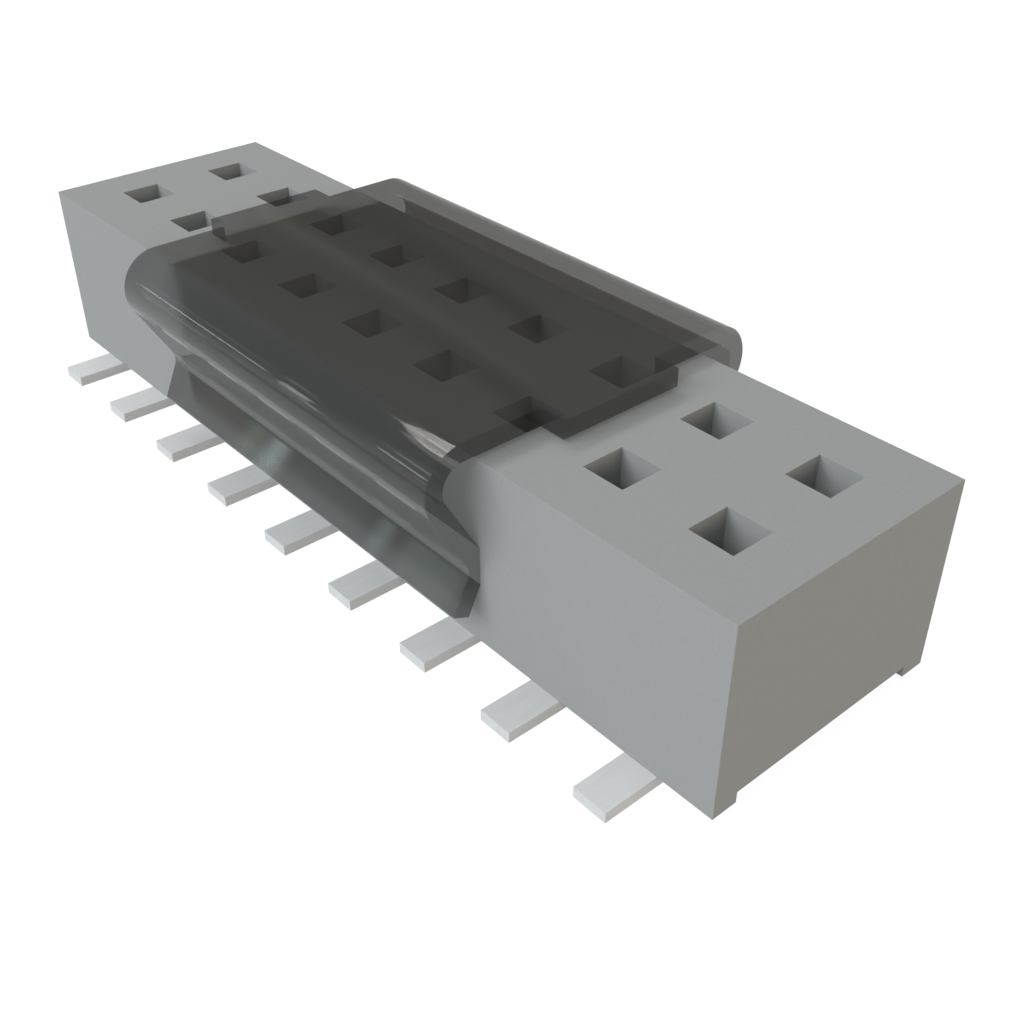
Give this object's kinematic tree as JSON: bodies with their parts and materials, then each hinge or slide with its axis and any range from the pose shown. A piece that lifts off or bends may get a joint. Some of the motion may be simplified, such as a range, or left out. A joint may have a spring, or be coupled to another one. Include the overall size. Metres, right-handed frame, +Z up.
{
  "type": "socket strip",
  "caption": "Low surface-mount socket strip with square pin entries in a straight housing, flat solder tails along both sides and a clip-on transparent pick-up pad.",
  "frame": {"origin": "middle of the strip, on the board plane under the solder tails", "axes": "+X along the strip, +Y across it, +Z up from the board through the pin entries"},
  "size_m": [0.0118, 0.0044, 0.0025],
  "materials": {
    "housing": "matt moulded grey",
    "contact": "matt pale plating on copper alloy strip",
    "clip": "clear, dark smoke tint"
  },
  "bodies": {
    "root": {"housing": "housing", "pick_up_clip": "clip", "contact_front_1": "contact", "contact_front_2": "contact", "contact_front_3": "contact", "contact_front_4": "contact", "contact_front_5": "contact", "contact_front_6": "contact", "contact_front_7": "contact", "contact_front_8": "contact", "contact_front_9": "contact", "contact_back_1": "contact", "contact_back_2": "contact", "contact_back_3": "contact", "contact_back_4": "contact", "contact_back_5": "contact", "contact_back_6": "contact", "contact_back_7": "contact", "contact_back_8": "contact", "contact_back_9": "contact"}
  },
  "joints": []
}
